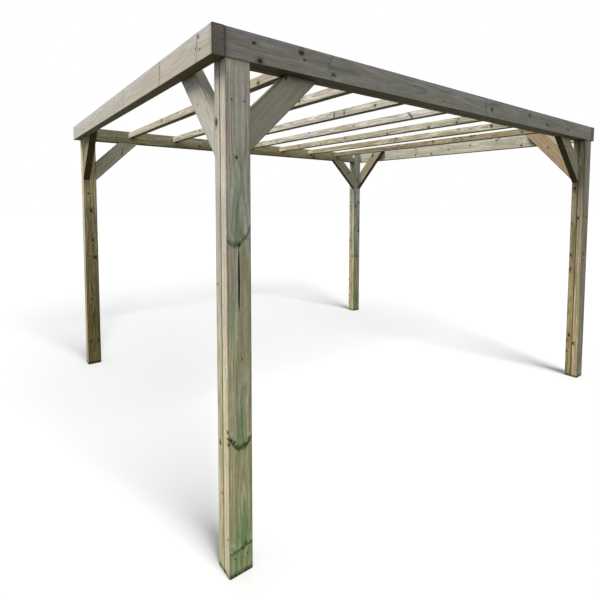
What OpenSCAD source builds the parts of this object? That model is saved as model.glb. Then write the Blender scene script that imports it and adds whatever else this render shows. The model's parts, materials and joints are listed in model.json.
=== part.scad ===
// Free-standing timber pergola: four laminated posts, a ring of beams, knee braces and rafters.
// The origin is at ground level in the middle of the plan. +X runs along the front, +Y to the back.

/* [Overall] */
// Width over the side beams
overall_w = 4000; // [3000:50:5200]
// Depth over the front and back beams
overall_d = 3600; // [2600:50:5000]
// Height from the ground to the underside of the beams
clear_h = 2400; // [2100:10:2800]

/* [Posts] */
// Thickness of one post board, measured front to back
post_board_t = 60; // [40:1:90]
// Width of a post board, measured along the front
post_board_w = 120; // [90:1:180]

/* [Beams] */
// Thickness of the side beams
side_beam_t = 60; // [40:1:90]
// Height of all four beams
beam_h = 135; // [120:1:200]
// Height of the ledgers that carry the rafters
ledger_h = 60; // [40:1:75]

/* [Roof] */
// Thickness of a rafter
rafter_t = 50; // [30:1:80]
// Height of a rafter
rafter_h = 60; // [45:1:75]

/* [Braces] */
// Thickness of the braces beside the side beams
side_brace_t = 60; // [30:1:90]
// Width of the board that a brace is cut from
brace_w = 135; // [70:1:150]
// Distance along the beam from the post to the far edge of a brace, at the underside of the beam
brace_run = 420; // [250:5:600]
// Distance down the post from the underside of the beam to the foot of a brace
brace_drop = 420; // [250:5:600]

/* [Finish] */
// Radius of the eased long edges of every timber
arris_r = 4; // [1:0.5:8]
// Fitting gap at each end of a timber that is cut to length between two others
end_gap = 1; // [0:0.5:3]

/* [Hidden] */
$fn = 32;
RAFTERS = 7;
overcut = 20;
wood_sunlit = "#b9b29c";
wood_shaded = "#84836f";
wood_pale = "#c4bda3";

// Heights: the rafters stand on the ledgers, with their tops just below the beams' tops
top_z = clear_h + beam_h;
rafter_z = clear_h + ledger_h;

// The end beams are as thick as the post board that carries them, and the ledger is as thick as
// the post board that it runs into, so both are flush with the posts.
end_beam_t = post_board_t;
ledger_t = post_board_t;
end_brace_t = post_board_t;

// Planes of the left side and of the front. The others mirror them.
beam_inner_x = -overall_w / 2 + side_beam_t;
post_inner_x = beam_inner_x + post_board_w;
front_y = -overall_d / 2;
seam_y = front_y + post_board_t;
post_inner_y = seam_y + post_board_t;

// Rafters divide the width between the side beams into equal bays
rafter_pitch = -2 * beam_inner_x / (RAFTERS + 1);

// ---- Timbers -------------------------------------------------------------------------------

// Cross-section of a planed timber with eased edges, its corner at the origin
module section(a, b) {
    translate([arris_r, 0])
        square([a - 2 * arris_r, b]);
    translate([0, arris_r])
        square([a, b - 2 * arris_r]);
    for (x = [arris_r, a - arris_r], y = [arris_r, b - arris_r])
        translate([x, y])
            circle(r = arris_r);
}

// Timbers that run along X, Y and Z, with their lowest corner at the origin: size is [x, y, z]
module timber_x(size) {
    rotate([90, 0, 90])
        linear_extrude(height = size.x)
            section(size.y, size.z);
}

module timber_y(size) {
    translate([0, size.y, 0])
        rotate([90, 0, 0])
            linear_extrude(height = size.y)
                section(size.x, size.z);
}

module timber_z(size) {
    linear_extrude(height = size.z)
        section(size.x, size.y);
}

// Copies its children from the front left corner to the corner named by two signs:
// right is 1 on the right side, back is 1 at the back
module at_corner(right, back) {
    mirror([right, 0, 0])
        mirror([0, back, 0])
            children();
}

// ---- Posts ---------------------------------------------------------------------------------

// The short board of a post, flush with the end beam that stands on it
module post_outer() {
    color(wood_shaded)
        translate([beam_inner_x, front_y, 0])
            timber_z([post_board_w, post_board_t, clear_h]);
}

// The tall board of a post, which runs up behind the end beam
module post_inner() {
    color(wood_sunlit)
        translate([beam_inner_x, seam_y, 0])
            timber_z([post_board_w, post_board_t, top_z]);
}

module post_front_left_outer() at_corner(0, 0) post_outer();
module post_front_left_inner() at_corner(0, 0) post_inner();
module post_front_right_outer() at_corner(1, 0) post_outer();
module post_front_right_inner() at_corner(1, 0) post_inner();
module post_back_left_outer() at_corner(0, 1) post_outer();
module post_back_left_inner() at_corner(0, 1) post_inner();
module post_back_right_outer() at_corner(1, 1) post_outer();
module post_back_right_inner() at_corner(1, 1) post_inner();

// ---- Beams and ledgers ---------------------------------------------------------------------

// An end beam stands on the short post boards, between the side beams
module end_beam() {
    length = -2 * beam_inner_x - 2 * end_gap;
    color(wood_shaded)
        translate([-length / 2, front_y, clear_h])
            timber_x([length, end_beam_t, beam_h]);
}

// A side beam runs the full depth on the outer side of the posts
module side_beam() {
    color(wood_sunlit)
        translate([-overall_w / 2, front_y, clear_h])
            timber_y([side_beam_t, overall_d, beam_h]);
}

// A ledger lies against the end beam, between the tall post boards, and carries the rafters
module ledger() {
    length = -2 * post_inner_x - 2 * end_gap;
    color(wood_shaded)
        translate([-length / 2, seam_y, clear_h])
            timber_x([length, ledger_t, ledger_h]);
}

module beam_front() at_corner(0, 0) end_beam();
module beam_back() at_corner(0, 1) end_beam();
module beam_left() at_corner(0, 0) side_beam();
module beam_right() at_corner(1, 0) side_beam();
module ledger_front() at_corner(0, 0) ledger();
module ledger_back() at_corner(0, 1) ledger();

// ---- Rafters -------------------------------------------------------------------------------

// Rafter number i, counted from the left, rests on both ledgers between the end beams
module rafter(i) {
    length = -2 * seam_y - 2 * end_gap;
    color(wood_pale)
        translate([beam_inner_x + i * rafter_pitch - rafter_t / 2, -length / 2, rafter_z])
            timber_y([rafter_t, length, rafter_h]);
}

module rafter_1() rafter(1);
module rafter_2() rafter(2);
module rafter_3() rafter(3);
module rafter_4() rafter(4);
module rafter_5() rafter(5);
module rafter_6() rafter(6);
module rafter_7() rafter(7);

// ---- Knee braces ---------------------------------------------------------------------------

// A brace in the XZ plane with the post's face at x = 0. It is thick along +Y, its foot is cut
// plumb against the post, and its head is cut level at the height head_z.
module knee_brace(thick, head_z) {
    angle = atan(brace_drop / brace_run);
    foot_z = clear_h - brace_drop;
    length = (head_z - foot_z) / sin(angle) + brace_w;
    intersection() {
        translate([0, 0, foot_z])
            rotate([0, -angle, 0])
                timber_x([length, thick, brace_w]);
        translate([0, -overcut, foot_z])
            cube([length, thick + 2 * overcut, head_z - foot_z]);
    }
}

// From the tall post board to the underside of the ledger
module brace_across() {
    color(wood_shaded)
        translate([post_inner_x, seam_y, 0])
            knee_brace(end_brace_t, clear_h);
}

// From the inward face of the post up beside the side beam, to its top edge
module brace_along() {
    color(wood_sunlit)
        translate([beam_inner_x + side_brace_t, post_inner_y, 0])
            rotate([0, 0, 90])
                knee_brace(side_brace_t, top_z);
}

module brace_front_left_across() at_corner(0, 0) brace_across();
module brace_front_left_along() at_corner(0, 0) brace_along();
module brace_front_right_across() at_corner(1, 0) brace_across();
module brace_front_right_along() at_corner(1, 0) brace_along();
module brace_back_left_across() at_corner(0, 1) brace_across();
module brace_back_left_along() at_corner(0, 1) brace_along();
module brace_back_right_across() at_corner(1, 1) brace_across();
module brace_back_right_along() at_corner(1, 1) brace_along();

// ---- Assembly ------------------------------------------------------------------------------

post_front_left_outer();
post_front_left_inner();
post_front_right_outer();
post_front_right_inner();
post_back_left_outer();
post_back_left_inner();
post_back_right_outer();
post_back_right_inner();
beam_front();
beam_back();
beam_left();
beam_right();
ledger_front();
ledger_back();
rafter_1();
rafter_2();
rafter_3();
rafter_4();
rafter_5();
rafter_6();
rafter_7();
brace_front_left_across();
brace_front_left_along();
brace_front_right_across();
brace_front_right_along();
brace_back_left_across();
brace_back_left_along();
brace_back_right_across();
brace_back_right_along();
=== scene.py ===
# %% [markdown]
# # A garden pergola in pressure treated softwood
# The real one is a kit of planed boards: posts made of two boards each, a ring of beams, knee
# braces and rafters. The CAD model gives every board its true size and place, so nothing is
# modelled twice here. What is left for Blender is what makes timber look like timber: growth
# rings, knots, the green of the treatment, weathering, and the screws that hold it together.

# %% Load the frame
import bpy, json, math, random
from collections import namedtuple
from mathutils import Matrix, Vector


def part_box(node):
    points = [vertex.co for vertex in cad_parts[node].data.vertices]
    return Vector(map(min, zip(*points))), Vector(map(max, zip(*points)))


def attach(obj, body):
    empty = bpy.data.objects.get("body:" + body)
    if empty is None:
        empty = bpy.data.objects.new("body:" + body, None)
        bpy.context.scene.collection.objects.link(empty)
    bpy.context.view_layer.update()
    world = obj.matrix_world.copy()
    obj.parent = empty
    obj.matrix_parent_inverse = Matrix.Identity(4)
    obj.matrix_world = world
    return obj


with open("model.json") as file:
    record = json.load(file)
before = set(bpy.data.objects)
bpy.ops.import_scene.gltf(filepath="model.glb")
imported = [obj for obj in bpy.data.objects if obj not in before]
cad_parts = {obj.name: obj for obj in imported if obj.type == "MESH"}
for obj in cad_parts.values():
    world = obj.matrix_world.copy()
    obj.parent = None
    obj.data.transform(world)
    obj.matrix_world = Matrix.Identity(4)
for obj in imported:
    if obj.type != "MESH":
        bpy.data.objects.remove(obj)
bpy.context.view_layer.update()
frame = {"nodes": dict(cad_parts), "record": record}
names = sorted(part["node"] for part in frame["record"]["subparts"])

# %% [markdown]
# ## Three helpers
# Colours are easiest to judge as the hex values of a paint chart, but Blender mixes light in
# linear values, so one function turns the first into the second. Node trees are long lists of
# the same three steps, add a node, set it, link it, so one function does those three. A new
# material or world comes with nodes of its own, and the third function clears them away.

# %% Colour and node helpers
def linear(code):
    """A colour such as #c9bf9f as linear red, green, blue and a full alpha."""
    shown = [int(code[i:i + 2], 16) / 255 for i in (1, 3, 5)]
    return [v / 12.92 if v <= 0.04045 else ((v + 0.055) / 1.055) ** 2.4 for v in shown] + [1.0]


def add(tree, kind, *inputs, at=None, **settings):
    """Adds a node, such as Mapping, or Math MULTIPLY, where the second word is the operation.
    Inputs fill its sockets in order, None leaves one alone, and at names others. An input may be
    a value, a socket, or a node, which stands for its first output in use."""
    kind, _, operation = kind.partition(" ")
    node = tree.nodes.new(kind if kind.startswith("Node") else "ShaderNode" + kind)
    if operation:
        node.operation = operation
    for name, value in settings.items():
        setattr(node, name, value)
    for key, value in [*enumerate(inputs), *(at or {}).items()]:
        if isinstance(value, bpy.types.Node):
            value = next(o for o in value.outputs if o.enabled)
        if isinstance(value, bpy.types.NodeSocket):
            tree.links.new(value, node.inputs[key])
        elif value is not None:
            node.inputs[key].default_value = value
    return node


def empty_tree(owner):
    """The node tree of a material or a world, with nothing in it yet."""
    owner.use_nodes = True
    owner.node_tree.nodes.clear()
    return owner.node_tree


print("a board's #c3bdad is", [round(v, 3) for v in linear("#c3bdad")], "in linear values")

# %% [markdown]
# ## Camera
# A person stands outside the near left corner, at eye height, and looks across the frame with a
# wide lens. The film is shifted instead of tilting the camera up, as an architect's camera does,
# so the posts stay almost upright in the picture.

# %% Camera
EYE = Vector((-2.777, -3.634, 1.778))  # m
HEADING, PITCH, ROLL = (math.radians(angle) for angle in (39.86, -3.54, 0.44))
FILM, LENS = 36, 26.27                 # mm
SHIFT = (-0.0773, -0.1196)             # of the film's width
camera = bpy.data.objects.new("camera", bpy.data.cameras.new("camera"))
camera.data.sensor_width, camera.data.lens = FILM, LENS
camera.data.shift_x, camera.data.shift_y = SHIFT
camera.matrix_world = (
    Matrix.Translation(EYE)
    @ Matrix.Rotation(-HEADING, 4, "Z")
    @ Matrix.Rotation(math.pi / 2 + PITCH, 4, "X")
    @ Matrix.Rotation(ROLL, 4, "Z")
)
bpy.context.scene.collection.objects.link(camera)
bpy.context.scene.camera = camera

# %% [markdown]
# ## Floor and backdrop
# The pergola stands on a pale studio floor that runs into a white background. A plain square is
# enough, because it reaches so far that its edge is lost in the white.

# %% Floor
FLOOR_HALF = 60     # m
FLOOR_GAP = 0.0005  # m below the feet, so that no two faces share a plane
floor_mesh = bpy.data.meshes.new("floor")
floor_mesh.from_pydata(
    [(x * FLOOR_HALF, y * FLOOR_HALF, -FLOOR_GAP) for x, y in ((-1, -1), (1, -1), (1, 1), (-1, 1))],
    [], [(0, 1, 2, 3)])
floor = bpy.data.objects.new("floor", floor_mesh)
bpy.context.scene.collection.objects.link(floor)
print("floor", 2 * FLOOR_HALF, "m square")

# %% [markdown]
# A ray that a camera or a mirror sends should find the floor and the background white. A ray that
# carries light should find them darker, because a pale floor would light the undersides, which
# stay dark outdoors. The Light Path node tells the two apart. The floor's paint comes just to
# white under its own lamp, so that every shadow shows, even the thin one of the rafters.

# %% The floor's paint
def seen(tree):
    """1 for the rays of a camera, a mirror or a glass, and 0 for those that carry light."""
    path = add(tree, "LightPath").outputs
    either = add(tree, "Math MAXIMUM", path["Is Camera Ray"], path["Is Glossy Ray"])
    return add(tree, "Math MAXIMUM", either, path["Is Transmission Ray"])


paint = bpy.data.materials.new("pale_studio_floor")
tree = empty_tree(paint)
bounced = add(tree, "BsdfDiffuse", linear("#282623"))
shown = add(tree, "BsdfDiffuse", linear("#c8c8c6"))
add(tree, "OutputMaterial", add(tree, "MixShader", seen(tree), bounced, shown))
floor_mesh.materials.append(paint)
print(paint.name, "has", len(tree.nodes), "nodes")

# %% World
world = bpy.data.worlds.new("white_studio")
bpy.context.scene.world = world
tree = empty_tree(world)
sky = add(tree, "Background", linear("#eef1f5"), 0.78)
white = add(tree, "Background", linear("#ffffff"), 1.0)
add(tree, "OutputWorld", add(tree, "MixShader", seen(tree), sky, white))
bpy.context.scene.view_settings.view_transform = "Standard"
print("sky light of strength", round(sky.inputs["Strength"].default_value, 2))

# %% [markdown]
# ## Lights
# A large soft key stands to the left and a little behind, so the left faces are bright and the
# front faces lie in shade, which shows the roof's depth. The floor's own light comes from the
# front and lays the shadow behind the frame. Light linking keeps the two apart: a collection
# names what a lamp lights, or what it skips.

# %% Lights
def lamp(name, towards, strength, spread, colour):
    """A far lamp that shines towards a direction. Its spread, in degrees, softens the shadows."""
    light = bpy.data.lights.new(name, "SUN")
    light.energy, light.angle, light.color = strength, math.radians(spread), linear(colour)[:3]
    thing = bpy.data.objects.new(name, light)
    thing.rotation_euler = Vector(towards).to_track_quat("-Z", "Y").to_euler()
    bpy.context.scene.collection.objects.link(thing)
    return thing


key = lamp("key_left", (0.58, -0.20, -1.02), 4.35, 28, "#fff6ea")
fill = lamp("fill_front", (0.25, 0.95, -0.15), 0.42, 40, "#e6eeff")
shadow = lamp("floor_light", (0.03, 0.8, -0.6), 6.0, 30, "#ffffff")
skip_floor = bpy.data.collections.new("key skips the floor")
skip_floor.objects.link(floor)
key.light_linking.receiver_collection = fill.light_linking.receiver_collection = skip_floor
skip_floor.collection_objects[0].light_linking.link_state = "EXCLUDE"
only_floor = bpy.data.collections.new("floor light reaches only the floor")
only_floor.objects.link(floor)
shadow.light_linking.receiver_collection = only_floor
print({thing.name: round(thing.data.energy, 2) for thing in (key, fill, shadow)})

# %% [markdown]
# ## What the timber is
# The boards are planed spruce and pine, pressure treated with a copper salt, and then left in the
# rain for a season. Three things follow. The salt turns pale sapwood a soft green, strongest
# above each ring of knots, where the wood drank most. Sun and rain take the yellow out and leave
# grey. And being softwood, it has growth rings with a dark late band, and many knots.
#
# The usual way is to stretch a wave texture along a board, but then each side of a board shows
# its own unrelated stripes. Here the wood is solid: every board gets a place inside a made-up
# trunk, the rings are the distance from the trunk's pith, and a knot is a cone that runs out from
# the pith as the branch did. Faces, edges and end grain then agree with each other by themselves.
#
# ## One knot
# A knot is a branch seen in section. Its axis starts at the pith and runs outwards, and it grows
# thicker on the way, so it is a cone. Most branches lean, and a saw cuts them at a slant, so the
# knot is drawn longer along the grain than across it. The group gives the distance from the axis,
# counted in radii of the knot: below 1 is inside it, and the grain around it can use the rest.

# %% The knot group
KNOT_GROWTH = 45             # mm from the pith at which a branch has its full radius
TWIG = 0.01                  # mm, its radius at the pith
SLANT = Vector((0.7, 1, 1))  # lengths along the grain count for less, which makes ovals


def group(name, takes, gives):
    """A new node group: takes and gives list the names of its sockets by their kind."""
    tree = bpy.data.node_groups.new(name, "ShaderNodeTree")
    for sockets, way in ((takes, "INPUT"), (gives, "OUTPUT")):
        for kind, labels in sockets.items():
            for label in labels.split():
                tree.interface.new_socket(label, in_out=way, socket_type="NodeSocket" + kind)
    return tree, add(tree, "NodeGroupInput").outputs


knot_group, into = group("knot", {"Vector": "Board Root Way", "Float": "Radius"},
                         {"Float": "Radii"})
tree = knot_group
offset = add(tree, "VectorMath SUBTRACT", into["Board"], into["Root"])
offset = add(tree, "VectorMath MULTIPLY", offset, SLANT)
along = add(tree, "VectorMath DOT_PRODUCT", offset, into["Way"])
foot = add(tree, "VectorMath SCALE", into["Way"], at={"Scale": along})
beside = add(tree, "VectorMath DISTANCE", offset, foot)
thick = add(tree, "MapRange", along, 0, KNOT_GROWTH, TWIG, into["Radius"])
add(tree, "NodeGroupOutput", add(tree, "Math DIVIDE", beside, thick))
print("a knot takes", len(tree.nodes) - 2, "nodes")

# %% [markdown]
# ## The stain above a whorl
# Pines grow a whorl of branches each year. Where one crosses a board the cells lie open, the salt
# soaks in deeper, and a green flame stands above it, broad at its foot and narrow at its tip, with
# a darker streak up its middle. Its lower edge is dark and curved like a U, because it follows the
# year's shoot around the trunk, and just above that edge the salt dries to a pale bloom.
# All three come from one number, how far a point lies above the edge, so it is worked out first.

# %% The whorl group: how far above the edge
U_CURVE = 0.017        # mm that the edge climbs for each mm aside, squared, far from the pith
WAVER = 60             # mm that a noise moves the edge up and down, in all
RAGGED = (20, 60, 60)  # how many waves of it to the metre, along, across and through


def per_mm(counts):
    """Counts to the metre as counts to the mm, which is what a noise in mm is multiplied by."""
    return [count / 1000 for count in counts]


whorl_group, into = group("whorl", {"Vector": "Board Place", "Float": "Curve"},
                          {"Float": "Stain Edge Bloom"})
tree = whorl_group
offset = add(tree, "VectorMath MULTIPLY", into["Board"], (1, 1, 0))
offset = add(tree, "VectorMath SUBTRACT", offset, into["Place"])
offset = add(tree, "SeparateXYZ", offset).outputs
aside = add(tree, "Math ADD", offset["Y"], offset["Z"])
climb = add(tree, "Math MULTIPLY", aside, aside)
climb = add(tree, "Math MULTIPLY", climb, into["Curve"])
above = add(tree, "Math SUBTRACT", offset["X"], climb)
ragged = add(tree, "VectorMath MULTIPLY", into["Board"], per_mm(RAGGED))
ragged = add(tree, "TexNoise", ragged, None, 1.0, 4.0, 0.7)
above = add(tree, "Math MULTIPLY_ADD", ragged, WAVER, above)
above = add(tree, "Math SUBTRACT", above, WAVER / 2)
side = add(tree, "Math ABSOLUTE", offset["Y"])
print("the edge wavers by up to", WAVER / 2, "mm each way")

# %% The whorl group: flame, edge and bloom
SMOOTH = {"interpolation_type": "SMOOTHSTEP"}  # for a mask that starts and ends gently
FLAME = 300        # mm that the green reaches above the whorl
FLAME_HALF = 44    # mm from its middle to its side, at the foot
TIP_HALF = 8       # mm the same, at the tip
THIN_EDGE = 8      # mm to which the dark edge fades, where it runs straight
THICKEN = 900      # mm that it grows thicker for each unit of its curve
sharp = add(tree, "MapRange", above, -6, 10, 0, 1, **SMOOTH)
fade = add(tree, "MapRange", above, 0, FLAME, 1, 0)
reach = add(tree, "Math MULTIPLY_ADD", fade, FLAME_HALF, TIP_HALF)
tongue = add(tree, "Math DIVIDE", side, reach)
tongue = add(tree, "MapRange", tongue, 0.25, 1.15, 1, 0, **SMOOTH)
streak = add(tree, "MapRange", side, 2, 14, 1, 0.55, **SMOOTH)
fade = add(tree, "MapRange", fade, 0, 0.55, 0, 1, **SMOOTH)
stain = sharp
for share in (tongue, streak, fade):
    stain = add(tree, "Math MULTIPLY", stain, share)
thick = add(tree, "Math MULTIPLY_ADD", into["Curve"], THICKEN, THIN_EDGE)
edge = add(tree, "Math ABSOLUTE", above)
edge = add(tree, "MapRange", edge, 1, thick, 1, 0, **SMOOTH)
bloom = add(tree, "MapRange", above, 14, 70, 1, 0, **SMOOTH)
clear = add(tree, "MapRange", side, 4, 26, 0.1, 1, **SMOOTH)
for share in (sharp, clear):
    bloom = add(tree, "Math MULTIPLY", bloom, share)
add(tree, "NodeGroupOutput", stain, edge, bloom)
print("a whorl takes", len(tree.nodes) - 2, "nodes")

# %% [markdown]
# ## A drying check
# Thick softwood splits along the grain as it dries. A check is widest in its middle, closes at
# both ends and wanders a little, following the fibres. It could be cut into the mesh, but it is
# a few millimetres wide, so a dark line in the material, the painted shade of its depth, that
# also dents the surface is enough.

# %% The check group
WANDER = 8          # mm from side to side
TURNS = (12, 0, 0)  # how many turns of that to the metre, along, across and through
BLUNT = 4           # the higher, the longer a check keeps its width before it closes
DEEP = (15, 25)     # mm below the face between which it ends, so it shows on one face only
check_group, into = group("drying_check", {"Vector": "Board Middle", "Float": "Half Wide"},
                          {"Float": "Crack"})
tree = check_group
offset = add(tree, "VectorMath SUBTRACT", into["Board"], into["Middle"])
offset = add(tree, "SeparateXYZ", offset).outputs
wander = add(tree, "VectorMath MULTIPLY", into["Board"], per_mm(TURNS))
wander = add(tree, "TexNoise", wander, None, 1.0, 3.0, 0.6)
wander = add(tree, "Math MULTIPLY_ADD", wander, WANDER, -WANDER / 2)
aside = add(tree, "Math ADD", offset["Y"], wander)
aside = add(tree, "Math ABSOLUTE", aside)
share = add(tree, "Math DIVIDE", offset["X"], into["Half"])
share = add(tree, "Math ABSOLUTE", share)
share = add(tree, "Math POWER", share, BLUNT)
gape = add(tree, "Math SUBTRACT", 1.0, share)
gape = add(tree, "Math MULTIPLY", gape, into["Wide"])
depth = add(tree, "Math ABSOLUTE", offset["Z"])
depth = add(tree, "MapRange", depth, *DEEP, 1, 0)
inside = add(tree, "Math SUBTRACT", gape, aside)
inside = add(tree, "MapRange", inside, -0.6, 0.6, 0, 1, **SMOOTH)
add(tree, "NodeGroupOutput", add(tree, "Math MULTIPLY", inside, depth))
print("a check takes", len(tree.nodes) - 2, "nodes")

# %% [markdown]
# ## The wood itself
# All boards share one group, and each gives it its own numbers. Growth rings come from the
# distance to the pith, bent by a slow noise, since no trunk is straight, and pushed outwards
# around knots. Real rings are 2 to 4 mm apart here, and they are drawn at 6 mm, because finer
# ones would average out to a flat colour at this distance. A second noise makes some years
# wider than others.

# %% Where a point lies in the trunk
BEND = 50                # mm that the pith wanders sideways along a board, in all
BENDS = (1.1, 6, 6)      # how many of those bends to the metre, along, across and through
APART = (731, 419, 257)  # mm between two boards' places in the noises, for each unit of seed
timber_group, into = group(
    "treated_softwood",
    {"Vector": "Board Half Pith", "Color": "Light Low",
     "Float": "Share Knot Stain Edge Bloom Crack End Wet Damp Under Washed Green Figure Seed"},
    {"Color": "Color", "Float": "Roughness Height"})
tree = timber_group
own = add(tree, "CombineXYZ", into["Seed"], into["Seed"], into["Seed"])
place = add(tree, "VectorMath MULTIPLY_ADD", own, APART, into["Board"])
bends = add(tree, "VectorMath MULTIPLY", place, per_mm(BENDS))
bends = add(tree, "TexNoise", bends, None, 1.0, 2.0, 0.5)
bends = add(tree, "VectorMath SUBTRACT", bends.outputs["Color"], (0.5, 0.5, 0.5))
bends = add(tree, "VectorMath MULTIPLY_ADD", bends, (0, BEND, BEND), into["Board"])
across = add(tree, "VectorMath SUBTRACT", bends, into["Pith"])
across = add(tree, "VectorMath MULTIPLY", across, (0, 1, 1))
radius = add(tree, "VectorMath LENGTH", across)
print("the pith wanders", BEND / 2, "mm each way")

# %% Growth rings
RING = 6          # mm between growth rings
KNOT_SWELL = 10   # mm that the rings give way around a knot
UNEVEN = 2.2      # years by which a noise shifts them, which makes wide years and narrow ones
SPELLS = 0.45     # how many turns that noise takes to the year
near = add(tree, "MapRange", into["Knot"], 0.7, 3.6, 1, 0, **SMOOTH)
radius = add(tree, "Math MULTIPLY_ADD", near, KNOT_SWELL, radius)
years = add(tree, "Math DIVIDE", radius, RING)
uneven = add(tree, "TexNoise", at={"W": years, "Scale": SPELLS, "Detail": 1.0},
             noise_dimensions="1D")
years = add(tree, "Math MULTIPLY_ADD", uneven, UNEVEN, years)
# Late wood sets in slowly, a quarter into the year, and stops sharply at its end
part = add(tree, "Math FRACT", years)
rise = add(tree, "MapRange", part, 0.25, 0.86, 0, 1, **SMOOTH)
fall = add(tree, "MapRange", part, 0.88, 1.0, 1, 0, **SMOOTH)
late = add(tree, "Math MULTIPLY", rise, fall)
print(round(100 / RING), "rings in 100 mm")

# %% [markdown]
# Five noises break the colour up: fibres, streaks of dirt that rain draws along the grain,
# blotches where a board dried unevenly, specks of mould, and pits in the end grain. Real fibres
# and pores are under 1 mm, and these are 5 and 6 mm wide, again so that they show. Four of them
# darken the wood as much as they lighten it, so a board keeps the tint that it was given.

# %% Fibres, streaks, blotches, specks and grit
# how many to the metre (along, across and through), detail, roughness
NOISES = (
    ((8, 200, 200), 3.0, 0.65),    # fibres 5 mm wide
    ((1.8, 62, 62), 3.0, 0.55),    # streaks 16 mm wide and half a metre long
    ((3.5, 12, 12), 4.0, 0.62),    # blotches 80 mm wide
    ((35, 100, 100), 3.0, 0.6),    # specks of 10 mm
    ((170, 170, 170), 3.0, 0.7),   # pits of 6 mm
)
SWINGS = (0.18, 0.13, 0.12, 0.10)  # by which the first four darken and lighten the board
noises = []
for counts, detail, rough in NOISES:
    field = add(tree, "VectorMath MULTIPLY", place, per_mm(counts))
    noises.append(add(tree, "TexNoise", field, None, 1.0, detail, rough))
fibre, streak, blotch, speck, grit = noises
shade = 1.0
for noise, swing in zip(noises, SWINGS):
    swing = add(tree, "MapRange", noise, 0.3, 0.7, -swing, swing)
    swing = add(tree, "Math MULTIPLY_ADD", swing, into["Figure"], 1.0)
    shade = add(tree, "Math MULTIPLY", shade, swing)
print([round(1000 / counts[1]) for counts, *_ in NOISES], "mm wide")

# %% [markdown]
# The board's colour is its two tints, mixed along it, times those noises. A noise's colour
# output holds three noises for the price of one, so the blotches give two more: one that makes
# the wood warmer and cooler in places, and one that the masks below use.

# %% The bare wood
COOLER, WARMER = (0.97, 1.01, 1.04, 1), (1.03, 0.99, 0.95, 1)
# A Mix node keeps two inputs for each kind of value, and 6 and 7 are its two colours
tint = add(tree, "Mix", into["Share"], at={6: into["Light"], 7: into["Low"]}, data_type="RGBA")
wood = add(tree, "VectorMath SCALE", tint, at={"Scale": shade})
others = add(tree, "SeparateXYZ", blotch.outputs["Color"]).outputs
warm = add(tree, "MapRange", others["Y"], 0.36, 0.64, 0, 1)
cast = add(tree, "Mix", warm, at={6: COOLER, 7: WARMER}, data_type="RGBA")
wood = add(tree, "VectorMath MULTIPLY", wood, cast)
print("bare wood takes", len(tree.nodes), "nodes")

# %% [markdown]
# Grime gathers along a board's arrises, where handling and rain wear them. An arris is where two
# faces meet, so a point is near one where its gaps to two faces are both small.

# %% How far a point is from the nearest arris
FAR = 1000.0  # mm, or radii, for a search that has found nothing yet
inward = add(tree, "VectorMath ABSOLUTE", into["Board"])
inward = add(tree, "VectorMath SUBTRACT", into["Half"], inward)
gaps = add(tree, "SeparateXYZ", inward).outputs
arris = FAR
for one, two in ((0, 1), (0, 2), (1, 2)):
    pair = add(tree, "Math ADD", gaps[one], gaps[two])
    arris = add(tree, "Math MINIMUM", arris, pair)
print("the timber group has", len(tree.nodes), "nodes so far")

# %% [markdown]
# The rest goes on in layers: late wood, salt, knots, then dirt, damp and splits, and over those
# some painted light: painted sky light on faces that look up, and painted shade on undersides and
# in checks. First come the masks, each a smooth step over a noise or a distance. A layer is then a
# row of factors whose product says how much of it there is, and its colour. Thin layers multiply
# what is below them, as a stain does, and thick ones cover it.

# %% Masks
# name, value, from, to, mask at the first, mask at the second
masks = {}
for name, value, *span in (
    ("misty", others["Z"], 0.42, 0.66, 0, 1),  # where the salt left a green haze
    ("crusty", speck, 0.38, 0.62, 0, 1),  # where it dried to a crust
    ("bitten", others["Z"], 0.40, 0.58, 0.75, 1),  # gaps in the dark edge of a whorl
    ("broken", streak, 0.42, 0.56, 0.8, 1),  # gaps along the grain in edge and stain
    ("runs", streak, 0.36, 0.60, 0.35, 1),  # how unevenly standing water stains
    ("mould", speck, 0.64, 0.74, 0, 0.4),
    ("pitted", grit, 0.46, 0.64, 0, 1),  # pores of the end grain
    ("halo", into["Knot"], 0.95, 2.6, 0.6, 0),  # resin around a knot, in its radii
    ("core", into["Knot"], 0.85, 1.08, 0.92, 0),  # the knot itself
    ("sound", into["Knot"], 0.45, 0.80, 1, 0),  # its middle
    ("some", blotch, 0.46, 0.52, 0, 0.4),  # so that only some knots have a pale one
    ("grime", arris, 1, 9.0, 0.88, 0),  # mm from the arris
    ("rubbed", fibre, 0.35, 0.60, 0.2, 1),  # where handling took the grime off again
    ("ends", gaps["X"], 0, 40.0, 0.45, 0),  # mm from the sawn end, and darker towards it
):
    masks[name] = add(tree, "MapRange", value, *span, **SMOOTH)
heart = add(tree, "Mix", fibre, at={6: linear("#130f0b"), 7: linear("#3b2e21")}, data_type="RGBA")
print(len(masks), "masks")

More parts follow.
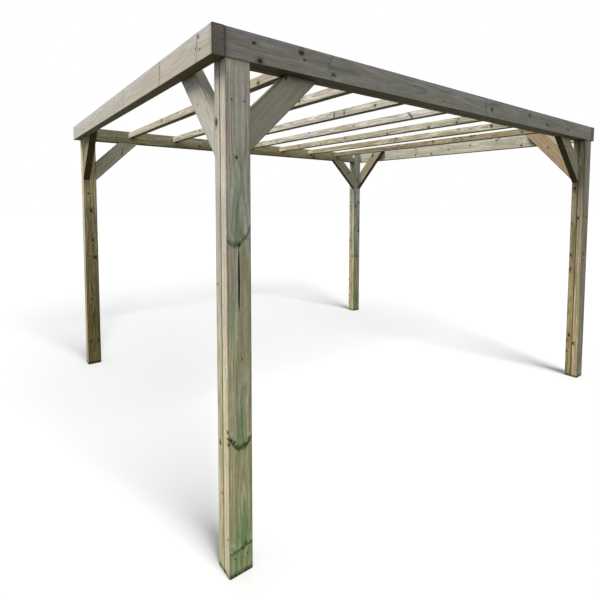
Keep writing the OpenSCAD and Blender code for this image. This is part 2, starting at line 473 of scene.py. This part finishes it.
# %% Layers
# factors, colour, blend: a multiplied colour is three shares of the light, and may pass 1
LAYERS = (
    ((late, into["Figure"], 0.5), (0.60, 0.50, 0.36, 1), "MULTIPLY"),
    ((masks["misty"], into["Green"]), (0.90, 1.0, 0.92, 1), "MULTIPLY"),
    # faces that look up, and the top strip of level boards: greyed by rain, and lighter and bluer
    # as painted sky light
    ((into["Washed"],), (1.08, 1.14, 1.28, 1), "MULTIPLY"),
    ((into["Stain"], into["Green"], masks["broken"]), (0.46, 0.68, 0.58, 1), "MULTIPLY"),
    ((into["Bloom"], into["Green"], masks["crusty"]), (1.28, 1.46, 1.66, 1), "MULTIPLY"),
    ((masks["halo"],), (0.42, 0.34, 0.24, 1), "MULTIPLY"),
    ((masks["core"],), heart, "MIX"),
    ((masks["sound"], masks["some"]), linear("#77654a"), "MIX"),
    ((into["Edge"], masks["bitten"], masks["broken"]), linear("#3b3822"), "MIX"),
    ((masks["mould"],), (0.42, 0.40, 0.34, 1), "MULTIPLY"),
    ((into["Damp"], into["Green"]), (0.70, 0.88, 0.76, 1), "MULTIPLY"),
    ((masks["grime"], masks["rubbed"]), (0.42, 0.36, 0.27, 1), "MULTIPLY"),
    ((masks["ends"],), (0.55, 0.50, 0.42, 1), "MULTIPLY"),
    ((into["End"],), (0.55, 0.55, 0.54, 1), "MULTIPLY"),
    ((into["End"], masks["pitted"]), (0.55, 0.53, 0.48, 1), "MULTIPLY"),
    # undersides: the brown of fresh treated wood that sees no sun, and painted shade
    ((into["Under"],), (0.27, 0.25, 0.12, 1), "MULTIPLY"),
    ((into["Wet"], masks["runs"]), linear("#2b2d20"), "MIX"),
    # a check's near black is painted shade in its depth
    ((into["Crack"],), linear("#17140d"), "MIX"),
)
for factors, colour, blend in LAYERS:
    amount = factors[0]
    for factor in factors[1:]:
        amount = add(tree, "Math MULTIPLY", amount, factor)
    wood = add(tree, "Mix", amount, at={6: wood, 7: colour}, data_type="RGBA", blend_type=blend)
print(len(LAYERS), "layers")

# %% [markdown]
# Planed and then weathered wood is dull all over. The soft early wood wears away first, so the
# late wood stands a little proud, knots stand prouder, and a check is a valley. One height adds
# them up, in shares of the dent that the material's Bump node makes of it.

# %% Surface
LATE_PROUD, KNOT_PROUD, CRACK_DEEP = 0.25, 0.5, -2.0
rough = add(tree, "MapRange", fibre, 0.3, 0.7, 0.74, 0.92)
height = fibre
for where, lift in ((late, LATE_PROUD), (masks["core"], KNOT_PROUD), (into["Crack"], CRACK_DEEP)):
    height = add(tree, "Math MULTIPLY_ADD", where, lift, height)
add(tree, "NodeGroupOutput", wood, rough, height)
print("the timber group has", len(tree.nodes), "nodes")

# %% [markdown]
# ## Which board is which
# Each board has its own tint, since a kit is made of many trees. Posts carry a second tint for
# their lower end, which stays damp and turns yellower and greener. A name that starts several
# boards' names, such as rafter, stands for all that have no entry of their own.

# %% Tints
# name: (tint at the top or the near end, tint at the foot or the far end, how green the salt has
# left it, how strong its figure is)
TINTS = {
    "post_front_left_outer": ("#c3bdad", "#d8d4a6", 1.0, 1.25),
    "post_front_left_inner": ("#bbbaac", "#b4b9a7", 0.2, 1.0),
    "post_back_left_inner": ("#c2b691", "#83794f", 0.2, 2.0),
    "post_back_left_outer": ("#aba48a", "#8c8462", 0.2, 1.6),
    # its top tint is darker than its foot as painted shade under the beam
    "post_front_right_outer": ("#9f9b8a", "#acaa95", 0.2, 1.6),
    "post_front_right_inner": ("#958f76", "#a89c74", 0.5, 1.8),
    "post_back_right_inner": ("#bbbfb8", "#b8ba93", 1.0, 1.8),
    "post_back_right_outer": ("#b8b8b0", "#bfb58e", 0.4, 1.8),
    "beam_front": ("#a29d93", "#999588", 0.6, 0.9),
    "beam_left": ("#b7b1a6", "#b8b9b2", 0.1, 0.5),
    "beam_right": ("#bfbdb1", "#b2b4a5", 0.2, 0.9),
    "beam": ("#a19a80", None, 0.25, 1.7),
    "ledger": ("#a29b78", None, 0.2, 1.7),
    "rafter_1": ("#b3ae9b", "#c6c1b2", 0.15, 1.2),
    "rafter_7": ("#9d9178", "#90866f", 0.1, 1.6),
    "rafter_5": ("#bab9a9", "#b6af94", 0.1, 1.8),
    "rafter_6": ("#bdbba8", "#bab59e", 0.1, 1.7),
    "rafter": ("#c5c5bd", "#c4c1af", 0.1, 1.7),
    "brace_front_left_across": ("#a8a190", None, 0.15, 0.4),
    "brace_front_left_along": ("#b8b7af", None, 0.1, 0.7),
    "brace_front_right_along": ("#aa9b82", None, 0.1, 1.3),
    "brace_back_right_along": ("#9b9685", None, 0.2, 1.3),
    "brace_back_right_across": ("#b6b094", None, 0.2, 1.2),
    "brace_back_left_across": ("#bfb9a2", None, 0.2, 1.2),
    "brace_back_left_along": ("#93866f", None, 0.2, 1.0),
    "brace": ("#aaa48c", None, 0.25, 1.0),
}
# Narrow faces of posts that look towards the sun, or away from it, have a tint of their own: partly
# their own weathering, partly painted light and shade of how that side is lit
NARROW_WEATHER_AND_LIGHT = {
    "post_front_left_outer": ("#cfcdc6", "#cdc8ac"),
    "post_front_left_inner": ("#b3b4ab", "#b6b295"),
    "post_back_left_outer": ("#e0decc", "#b5af90"),
    "post_back_left_inner": ("#dcdac8", "#b0aa88"),
    "post_front_right_outer": ("#b0a793", "#c1b899"),
    "post_back_right_inner": ("#cfcfc0", "#cdc7a0"),
}
print(len(TINTS), "tints for", len(names), "boards")

# %% [markdown]
# The places of the main knots are given in mm from the middle of the board, along and across it.
# A branch that comes out on a narrow face also needs its place through the board, as a share of
# half the thickness. Without one it comes out on the wide face that looks towards -Y or -X.

# %% Knots, whorls and checks, listed one by one
# name: (pith across and through),
# knots [(along, across, radius, share of half the thickness, or -1 when left out)],
# whorls [(along, across, how far beside it the edge is lowest, how dark the edge, its curve)],
# checks [(along, across, share, half length, half width)]
MARKS = {
    "post_front_left_outer": (
        (10, 75),
        [(770, -10, 5), (374, 0, 6), (-158, 11, 3), (-528, -46, 5), (-541, -30, 4), (-560, 50, 3),
         (-1056, 24, 4), (-489, -60, 5, -0.7), (-520, -60, 4, -0.75), (-545, -60, 5, -0.95),
         (-1010, -60, 3, -0.4)],
        [(374, -8, -8, 0.75, 0.016), (-580, 9, -4, 1.0, U_CURVE), (-1080, 18, -50, 0.8, 0.003)],
        [(214, -2, -1, 152, 4.4)]),
    "post_front_left_inner": (
        (60, -20),
        [(865, -60, 12, 0.3), (-638, -60, 7, 0), (120, -60, 4, 0.4), (-880, -60, 5, -0.5)],
        [], []),
    "beam_front": (
        (-20, 80),
        [(-1800, -24, 7), (-1770, 50, 9), (-1541, -36, 10), (-1522, -6, 5), (-1340, 34, 7),
         (-700, -20, 3), (-420, 30, 4), (148, 8, 9), (704, -24, 8), (1008, 18, 9), (1415, 16, 8)],
        [(-1365, 0, 0, 0.35, 0.006), (60, -30, 0, 0.5, 0.006), (640, -20, 0, 0.25, 0.006)], []),
    "brace_front_left_across": ((0, 140), [(150, -58, 6)], [], []),
    "brace_front_left_along": (
        (20, 120), [(60, 20, 3), (-60, -20, 3)], [(90, 0, 0, 0.3, 0.002)], []),
    "brace_back_right_across": ((20, 60), [(-40, 20, 9)], [(-40, 0, 0, 0.3, 0.01)], []),
    "brace_front_right_along": ((0, 70), [(80, 0, 6)], [], []),
    "beam_left": (
        (30, 60),
        [(-1652, 44, 6), (-1621, -2, 4), (-1668, -15, 4), (450, 20, 4), (1200, -30, 5)],
        [(-1640, 20, 0, 0.6, 0.002), (-1098, 10, 0, 0.8, 0.004), (-296, 0, 0, 0.75, 0.001),
         (432, 10, 0, 0.4, 0.001), (1290, 0, 0, 0.3, 0.003)], []),
    "beam_right": (
        (10, 70),
        [(507, 58, 6), (514, -36, 8), (228, -37, 9), (-53, -7, 8), (-381, 16, 8), (-742, 42, 7),
         (-780, 55, 6), (-1059, -46, 8), (851, -40, 7), (-1500, 0, 6), (1300, 20, 6)],
        [(-760, 40, 0, 0.4, 0.01), (-1070, -20, 0, 0.3, 0.01), (490, 0, 0, 0.3, 0.01)], []),
    "rafter_1": (
        (-30, 60),
        [(-1250, -12, 9), (560, 10, 7), (575, 24, 5), (150, 19, 5), (1190, -12, 6), (-500, 19, 4)],
        [(560, 0, 0, 0.5, 0.01)], []),
    "rafter_2": (
        (20, 70),
        [(-962, 3, 7), (-420, 24, 4), (240, -8, 5), (900, 10, 6)],
        [(-962, -9, 0, 0.3, 0.01)], []),
    "rafter_3": (
        (10, -60),
        [(-1241, -2, 9), (-750, -12, 6), (-752, 7, 6), (-880, -7, 7), (-100, 20, 5), (700, 2, 6)],
        [(-748, -10, 0, 0.7, 0.004), (-885, 0, 0, 0.4, 0.01)], []),
    "rafter_4": (
        (0, 70),
        [(-431, 7, 5), (-1162, -7, 6), (-1140, 7, 4), (300, 24, 5), (980, -7, 6)],
        [(-1170, -26, 0, 0.8, 0.02), (-290, 10, 0, 0.3, 0.01)], []),
    "rafter_5": (
        (-20, 60),
        [(-402, -15, 8), (-943, -19, 8), (-1279, 14, 5), (-1258, -14, 6), (-651, 24, 4),
         (277, 12, 6), (1225, 18, 7)],
        [(-1268, -20, 0, 0.4, 0.01), (270, 0, 0, 0.4, 0.01), (1220, 0, 0, 0.5, 0.01)], []),
    "rafter_6": (
        (10, 75),
        [(-925, 24, 6), (-1299, 5, 9), (-70, 20, 5), (417, 24, 6), (1190, 24, 6)],
        [(-1305, -10, 0, 0.6, 0.02), (-60, 8, 0, 0.8, 0.03)], []),
    "rafter_7": (
        (0, 60),
        [(-516, 24, 8), (-600, 24, 7), (-211, 14, 9), (-745, 24, 10), (-790, 24, 7), (367, 23, 8),
         (210, 24, 6), (-1340, -1, 7), (763, 19, 6)],
        [(-205, 0, 0, 0.5, 0.01), (-1345, 0, 0, 0.4, 0.01)], []),
    "post_back_left_inner": (
        (0, 55),
        [(392, 2, 11), (-112, 27, 10), (571, -14, 7), (75, 14, 8), (-1018, -30, 8), (-1013, 40, 8),
         (-560, -10, 6), (900, 20, 6)],
        [(390, 0, 0, 0.3, 0.012), (-115, 20, 0, 0.3, 0.012)], [(-300, -12, -1, 200, 2.0)]),
    "post_back_right_inner": (
        (10, 60),
        [(35, 42, 12), (488, 30, 12), (431, -44, 8), (-377, -5, 10), (-1090, 0, 8),
         (-377, -60, 8, 0)],
        [(-385, 0, 0, 0.8, 0.01), (30, 20, 0, 0.4, 0.01)], []),
    "post_back_right_outer": (
        (30, 0),
        [(-54, -60, 9, 0.37), (-695, -60, 12, 0.8), (-961, -60, 8, 0.8), (-312, -60, 8, -0.6),
         (500, -60, 7, 0)], [], []),
    "post_front_right_inner": (
        (30, 10),
        [(655, -60, 12, -0.07), (-20, -60, 7, 0.6), (-168, -60, 10, 0.6), (-842, -60, 10, 0),
         (-901, -60, 9, 0.87), (-1015, -60, 8, 0.73), (300, -60, 5, 0.4)], [], []),
    "post_front_right_outer": (
        (30, 40),
        [(427, -60, 9, 0.6), (-852, -60, 9, 0.6), (438, 20, 8), (66, -17, 7), (7, -35, 6),
         (-600, 20, 6)],
        [(430, 0, 0, 0.5, 0.01), (60, 0, 0, 0.3, 0.01)], []),
}
print(sum(len(knots) for _, knots, _, _ in MARKS.values()), "knots set by hand")

# %% [markdown]
# Every other board draws its marks by chance, one whorl each 35 to 56 cm, from a seed that is
# its own name, so it gets the same ones each time. For that, and for all that follows, a board
# has to know its own directions and size. Both come from its box in the frame.

# %% A board's directions and size
Board = namedtuple("Board", "name axes half middle")  # half sizes and middle in mm
X, Y, Z = Matrix.Identity(3)


def axes_of(name):
    """The directions along, across and through a board, as unit vectors."""
    if name.startswith("post"):
        along, through = Z, Y
    elif name.startswith("ledger") or name in ("beam_front", "beam_back"):
        along, through = X, Y
    elif name.startswith(("beam", "rafter")):
        along, through = Y, X
    elif name.endswith("across"):
        along, through = Z - X if "right" in name else Z + X, Y
    else:
        along, through = Z - Y if "_back_" in name else Z + Y, X
    along = along.normalized()
    return along, through.cross(along), through


def measure(name):
    """A board's directions, half its length, width and thickness, and its middle."""
    axes = axes_of(name)
    low, high = (Vector(v) * 1000 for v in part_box(name))
    middle = (low + high) / 2
    size = [sum(abs(a * b) for a, b in zip(axis, high - low)) for axis in axes]
    if name.startswith("brace"):
        # Braces are cut from the beams' timber, and the box's middle is on their lower edge
        beam_low, beam_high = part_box("beam_front")
        size[1] = (beam_high[2] - beam_low[2]) * 1000
        size[0] += size[1]
        middle += axes[1] * math.copysign(size[1] / 2, axes[1].z)
    return Board(name, axes, Vector(size) / 2, middle)


boards = [measure(name) for name in names]
for board in boards[::7]:
    print(board.name, [round(2 * half) for half in board.half], "mm")

# %% Marks drawn by chance
def chance_marks(board):
    """Pith, knots, whorls and checks for a board that has none listed in MARKS."""
    draw = random.Random(board.name)
    between = draw.uniform
    half = board.half
    pith = (between(-0.8, 0.8) * half.y, draw.choice((-1, 1)) * between(0.6, 3.2) * half.z)
    knots, whorls = [], []
    spot = -half.x + between(60, 300)
    while spot < half.x:
        if draw.random() < 0.5:
            whorls.append(
                (spot, between(-0.4, 0.4) * half.y, 0, between(0, 0.5), between(0.002, U_CURVE)))
        for _ in range(draw.choice((1, 1, 2, 3))):
            knots.append((spot + between(-30, 30), between(-0.92, 0.92) * half.y,
                          between(3.5, 9.5), draw.choice((-1, 1))))
        spot += between(350, 560)
    checks = [(between(-0.7, 0.7) * half.x, between(-0.6, 0.6) * half.y,
               draw.choice((-1, 1)), between(60, 240), between(0.6, 1.6))
              for _ in range(2)]
    return pith, knots, whorls, checks


marks = {board.name: MARKS.get(board.name) or chance_marks(board) for board in boards}
print(sum(len(knots) for _, knots, _, _ in marks.values()), "knots on", len(marks), "boards")

# %% [markdown]
# ## Placing the marks on a board
# Each kind of mark has its group, and a board calls it once for each mark. Of all its knots a
# point needs only the nearest, so the answers are joined by their minimum, and stains and checks
# by their maximum. A branch does not run straight through a board: it starts at the pith a
# little lower than it comes out.

# %% Knots, flames and checks of a board
CLIMB = 12  # mm that a branch climbs between the pith and the face of the board


def knots_of(tree, board, place, pith, knots):
    """How far a point is from the nearest knot's axis, in radii of that knot."""
    nearest = FAR
    for along, across, radius, *given in knots:
        share = given[0] if given else -1
        root = Vector((along - CLIMB, *pith))
        way = Vector((along, across, share * board.half.z)) - root
        knot = add(tree, "Group", place, root, (way * SLANT).normalized(), radius,
                   node_tree=knot_group)
        nearest = add(tree, "Math MINIMUM", nearest, knot)
    return nearest


def flames_of(tree, place, wide, whorls):
    """Stain, dark edge and bloom. They show on the wide faces, where the rings lie flat."""
    traces = [0.0, 0.0, 0.0]
    for along, across, beside, dark, curve in whorls:
        whorl = add(tree, "Group", place, (along, across, beside), curve,
                    node_tree=whorl_group).outputs
        edge = add(tree, "Math MULTIPLY", whorl["Edge"], dark)
        for number, value in enumerate((whorl["Stain"], edge, whorl["Bloom"])):
            value = add(tree, "Math MULTIPLY", value, wide)
            traces[number] = add(tree, "Math MAXIMUM", value, traces[number])
    return traces


def checks_of(tree, board, place, checks):
    """How far a point is inside a drying check, from 0 to 1."""
    crack = 0.0
    for along, across, share, reach, wide in checks:
        check = add(tree, "Group", place, (along, across, share * board.half.z), reach, wide,
                    node_tree=check_group)
        crack = add(tree, "Math MAXIMUM", check, crack)
    return crack


print("a branch climbs", CLIMB, "mm on its way out")

# %% [markdown]
# ## Which way a face looks
# End grain shows where the surface faces along the board. Undersides keep the brown of fresh
# treated wood, since they see no sun, and are also painted darker as painted shade. What faces up
# is greyed by rain and painted lighter and bluer as painted sky light. All of that can be read from
# the surface's normal, so no face has to be picked by hand and every board can use it.

# %% Masks for the faces of a board
TURNED = {"wide": (0.3, 0.9), "end": (0.85, 0.95)}    # where a mask starts and is full, as
LEVEL = {"under": (-0.3, -0.6), "up": (0.3, 0.6)}     # cosines of the angle to the direction


def faces_of(tree, board, normal):
    """Masks for its wide faces, its ends, and the faces that look down and up."""
    along, _, through = board.axes
    faces = {}
    for name, way in (("wide", through), ("end", along)):
        turned = add(tree, "VectorMath DOT_PRODUCT", normal, way)
        turned = add(tree, "Math ABSOLUTE", turned)
        faces[name] = add(tree, "MapRange", turned, *TURNED[name], 0, 1)
    upwards = add(tree, "SeparateXYZ", normal).outputs["Z"]
    for name, span in LEVEL.items():
        faces[name] = add(tree, "MapRange", upwards, *span, 0, 1)
    return faces


print("end grain shows within", round(math.degrees(math.acos(TURNED["end"][0]))), "degrees")

# %% [markdown]
# ## What the weather does
# Water stands around a post's foot and in the seam between its two boards, and leaves both dark,
# and the wood above the foot stays damp and green. The upper part of the boards that lie level is
# greyed by rain and painted lighter and bluer, as painted sky light. Braces stand under those, so
# their upper faces get none of that, and instead get a share of the undersides' brown and painted
# shade, which stands in for the shade of the beam above them.

# %% Weather on posts, braces and level boards
FOOT_WET, FOOT_DAMP = (0.006, 0.032), (0.03, 0.4)  # m above the ground where they fade out
SEAM, SEAM_DARK = (0.5, 8.0), 0.8                  # mm from the seam, and how dark it is
WASHED_AND_SKY_LIT_TOP = 0.06                                  # m below its top edge that a level board is greyed by rain and painted lighter and bluer, as painted sky light
BRACE_TOP_SHADE = 0.3                                   # share of an underside's brown and painted shade, put on top of a brace as painted shade of the beam above


def weather_of(tree, board, place, height, faces):
    """How wet, damp and brown a board is, with painted shade underneath and painted sky light on
    top, as inputs of the timber group.
    """
    weather = {"Wet": 0.0, "Damp": 0.0, "Under": faces["under"], "Washed": faces["up"]}
    if board.name.startswith("post"):
        weather["Damp"] = add(tree, "MapRange", height, *FOOT_DAMP, 1, 0, **SMOOTH)
        wet = add(tree, "MapRange", height, *FOOT_WET, 1, 0, **SMOOTH)
        # The seam is on the side of the other board: towards +Y on a front post's outer one
        side = 1 if ("front" in board.name) == board.name.endswith("outer") else -1
        seam = add(tree, "SeparateXYZ", place).outputs["Z"]
        seam = add(tree, "Math MULTIPLY", seam, side)
        seam = add(tree, "Math SUBTRACT", board.half.z, seam)
        seam = add(tree, "MapRange", seam, *SEAM, SEAM_DARK, 0, **SMOOTH)
        weather["Wet"] = add(tree, "Math MAXIMUM", wet, seam)
    elif board.name.startswith("brace"):
        weather["Washed"] = 0.0
        # a brace's upper faces get painted shade: a share of the undersides' brown and painted
        # shade
        weather["Under"] = add(tree, "Math MULTIPLY_ADD", faces["up"], BRACE_TOP_SHADE, faces["under"])
    else:
        # the top strip of a level board is greyed by rain and painted lighter and bluer, as painted
        # sky light
        top = (board.middle.z + board.half.y) / 1000
        upper = add(tree, "MapRange", height, top - WASHED_AND_SKY_LIT_TOP, top, 0, 1)
        weather["Washed"] = add(tree, "Math MAXIMUM", faces["up"], upper)
    return weather


print("posts are wet up to", round(1000 * FOOT_WET[1]), "mm")

# %% [markdown]
# A post goes over from one tint to the other between its top and its foot, and any other board
# between its ends. The narrow faces of some posts have a second pair of tints, partly their own
# weathering and partly painted light and shade of the side they face, and those boards mix it in.

# %% Tints of a board
POST_LOW = (2.1, 0.3)  # m above the ground between which a post goes over to its lower tint


def tints_of(tree, board, place, height, wide):
    """Its two tints, how far a point is from the one to the other, its green and its figure."""
    light, low, green, figure = TINTS[max(filter(board.name.startswith, TINTS), key=len)]
    light, low = linear(light), linear(low or light)
    if board.name.startswith("post"):
        share = add(tree, "MapRange", height, *POST_LOW, 0, 1, **SMOOTH)
    else:
        along = add(tree, "SeparateXYZ", place).outputs["X"]
        share = add(tree, "MapRange", along, -board.half.x, board.half.x, 0, 1)
    # narrow faces' own tints: partly weathering, partly painted light and shade
    if board.name in NARROW_WEATHER_AND_LIGHT:
        green = add(tree, "Math MULTIPLY", wide, green)
        light, low = (
            add(tree, "Mix", wide, at={6: linear(narrow), 7: colour}, data_type="RGBA")
            for narrow, colour in zip(NARROW_WEATHER_AND_LIGHT[board.name], (light, low)))
    return {"Light": light, "Low": low, "Share": share, "Green": green, "Figure": figure}


print(len(NARROW_WEATHER_AND_LIGHT), "boards have a tint of their own on their narrow faces")

# %% [markdown]
# ## One material for each board
# Treated softwood, planed and weathered: dull and matt, since loose fibres scatter light. The
# material is short, because the groups do the work. A Mapping node turns the point into mm along,
# across and through the board, and everything else starts from there.

# %% Treated softwood, planed and weathered
DULL = 0.2      # weathered fibres hardly mirror the light, so this is under the usual 0.5
DENT = 0.0008   # m, between the lowest and the highest fibre
SEED = 0.29     # from one board to the next, so that no two show the same noise


def timber(board, number):
    """Makes the material of one board, from its place in the frame and its marks."""
    pith, knots, whorls, checks = marks[board.name]
    wood = bpy.data.materials.new("softwood_" + board.name)
    tree = empty_tree(wood)
    point = add(tree, "TexCoord").outputs
    height = add(tree, "SeparateXYZ", point["Object"]).outputs["Z"]
    turn = Matrix(board.axes)
    place = add(tree, "Mapping", point["Object"], -(turn @ board.middle), turn.to_euler("XYZ"),
                (1000, 1000, 1000))
    faces = faces_of(tree, board, point["Normal"])
    stain, edge, bloom = flames_of(tree, place, faces["wide"], whorls)
    body = add(tree, "Group", node_tree=timber_group, at={
        "Board": place, "Half": board.half, "Pith": (0, *pith), "Seed": number * SEED,
        "Knot": knots_of(tree, board, place, pith, knots),
        "Stain": stain, "Edge": edge, "Bloom": bloom, "End": faces["end"],
        "Crack": checks_of(tree, board, place, checks),
        **weather_of(tree, board, place, height, faces),
        **tints_of(tree, board, place, height, faces["wide"])}).outputs
    grain = add(tree, "Bump", 1.0, DENT, at={"Height": body["Height"]})
    surface = add(tree, "BsdfPrincipled", at={
        "Base Color": body["Color"], "Roughness": body["Roughness"],
        "Specular IOR Level": DULL, "Normal": grain})
    add(tree, "OutputMaterial", surface)
    return wood


for number, board in enumerate(boards):
    wood = timber(board, number)
    for held in frame["nodes"][board.name].material_slots:
        held.link, held.material = "OBJECT", wood
print(len(boards), "materials, the last with", len(wood.node_tree.nodes), "nodes of its own")

# %% [markdown]
# ## Screws
# The boards are held by countersunk wood screws. Only their heads show, driven just below the
# surface, so each one is a dull zinc disc with a driver recess, set in a dark ring that is the
# painted shade of its hole. That dark ring is what the eye finds first, and the zinc only glints in
# it.

# %% Weathered zinc and the painted shade of a hole
PATCHES = 400  # to the metre, 2.5 mm each: rust and dirt in a hole are not even


def plain(name, colour, metallic, roughness, patchy):
    """A finish of one colour, broken by patches that are lighter and darker by the same share."""
    finish = bpy.data.materials.new(name)
    tree = empty_tree(finish)
    spots = add(tree, "TexCoord").outputs["Object"]
    spots = add(tree, "TexNoise", spots, None, PATCHES, 2.0, 0.6)
    shade = add(tree, "MapRange", spots, 0.3, 0.7, 1 - patchy, 1 + patchy)
    tint = add(tree, "VectorMath SCALE", linear(colour)[:3], at={"Scale": shade})
    surface = add(tree, "BsdfPrincipled", at={
        "Base Color": tint, "Metallic": metallic, "Roughness": roughness})
    add(tree, "OutputMaterial", surface)
    return finish


# the first finish is the painted shade of a screw hole, the second the zinc of the head
screw_looks = (plain("dark_damp_hole", "#1d1912", 0.0, 0.9, 0.3),
               plain("weathered_zinc", "#6f6d66", 0.7, 0.55, 0.25))
print("patches of", 1000 / PATCHES, "mm on", [look.name for look in screw_looks])

# %% [markdown]
# A head is three rings of points, all of them within a tenth of a millimetre of the wood: the
# rim of the hole, the rim of the head, and the recess, whose every second point stands further
# out, as in a star drive. The band from the hole's rim to the head's rim, and the recess, take the
# hole's painted shade, and the band from the head's rim to the recess takes the zinc. A real hole
# would have to be cut into the board, and this looks the same from a step away.

# %% Heads of screws
HOLE, HEAD, RECESS = 5.2, 3.9, 1.5    # radii in mm
PROUD = (0.05, 0.10, 0.07)            # how far each ring stands off the wood, in mm
STAR = 1.25                           # how much further out every second point of the recess is
CORNERS = 12


def heads(name, places, finishes):
    """One mesh of screw heads: places are pairs of a point in mm and the way that it faces."""
    corners, faces, looks = [], [], []
    for spot, facing in places:
        turn = Vector(facing).to_track_quat("Z", "Y").to_matrix()
        start = len(corners)
        for radius, lift in zip((HOLE, HEAD, RECESS), PROUD):
            for step in range(CORNERS):
                angle = 2 * math.pi * step / CORNERS
                reach = radius * (STAR if radius == RECESS and step % 2 else 1.0)
                point = Vector((reach * math.cos(angle), reach * math.sin(angle), lift))
                corners.append((Vector(spot) + turn @ point) / 1000)
        for ring in (0, 1):
            for step in range(CORNERS):
                one, two = (start + ring * CORNERS + k % CORNERS for k in (step, step + 1))
                faces.append((one, two, two + CORNERS, one + CORNERS))
                looks.append(ring)
        faces.append([start + 2 * CORNERS + k for k in range(CORNERS)])
        looks.append(0)
    mesh = bpy.data.meshes.new(name)
    mesh.from_pydata(corners, [], faces)
    for finish in finishes:
        mesh.materials.append(finish)
    mesh.polygons.foreach_set("material_index", looks)
    piece = bpy.data.objects.new(name, mesh)
    bpy.context.scene.collection.objects.link(piece)
    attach(piece, "root")
    return piece


print("a head has", 3 * CORNERS, "points")

# %% [markdown]
# The two boards of a post are screwed together in pairs, at the foot and below the knee braces,
# and the tall one is screwed to the end beam through its head. A brace has two screws at each
# end, through its lower edge. Ledgers and rafters have theirs on the inside of the frame. All the
# screws of a kind make one mesh, which keeps the number of pieces small.

# %% Where the screws are
# mm: heights are above the ground, the rest is from the middle of the board
POST_HEIGHTS, POST_SIDES = (90, 2223), (-32, 32)
HEAD_HEIGHTS = (2435, 2500)
LEDGER_PLACES = (-1700, -1213, -728, -243, 243, 728, 1213, 1700)  # between the rafters
RAFTER_ENDS, RAFTER_DROP = (-1712, 1712), 12
BRACE_ENDS, BRACE_SIDES = (-150, 150), (-13, 13)
places = {"posts": [], "braces": [], "beams": [], "rafters": []}
for name, (along, across, through), half, middle in boards:
    out = -1 if "front" in name else 1  # the way along Y that leads out of the frame
    outer_face, inner_face = middle.y + out * half.z, middle.y - out * half.z
    if name.startswith("post") and name.endswith("outer"):
        places["posts"] += [
            ((middle.x + x, outer_face, z), (0, out, 0)) for z in POST_HEIGHTS for x in POST_SIDES]
    elif name.startswith("post"):
        places["beams"] += [
            ((middle.x, inner_face, z), (0, -out, 0)) for z in HEAD_HEIGHTS]
    elif name.startswith("ledger"):
        places["beams"] += [
            ((x, inner_face, middle.z), (0, -out, 0)) for x in LEDGER_PLACES]
    elif name.startswith("rafter"):
        places["rafters"] += [
            ((middle.x + side * half.z, y, middle.z - RAFTER_DROP), (side, 0, 0))
            for y in RAFTER_ENDS for side in (-1, 1)]
    elif name.startswith("brace"):
        below = across * math.copysign(half.y, -across.z)
        places["braces"] += [
            (middle + below + along * end + through * side, below)
            for end in BRACE_ENDS for side in BRACE_SIDES]
for kind, spots in places.items():
    piece = heads("screws_in_" + kind, spots, screw_looks)
    print(piece.name, "has", len(spots), "heads and", len(piece.data.polygons), "faces")
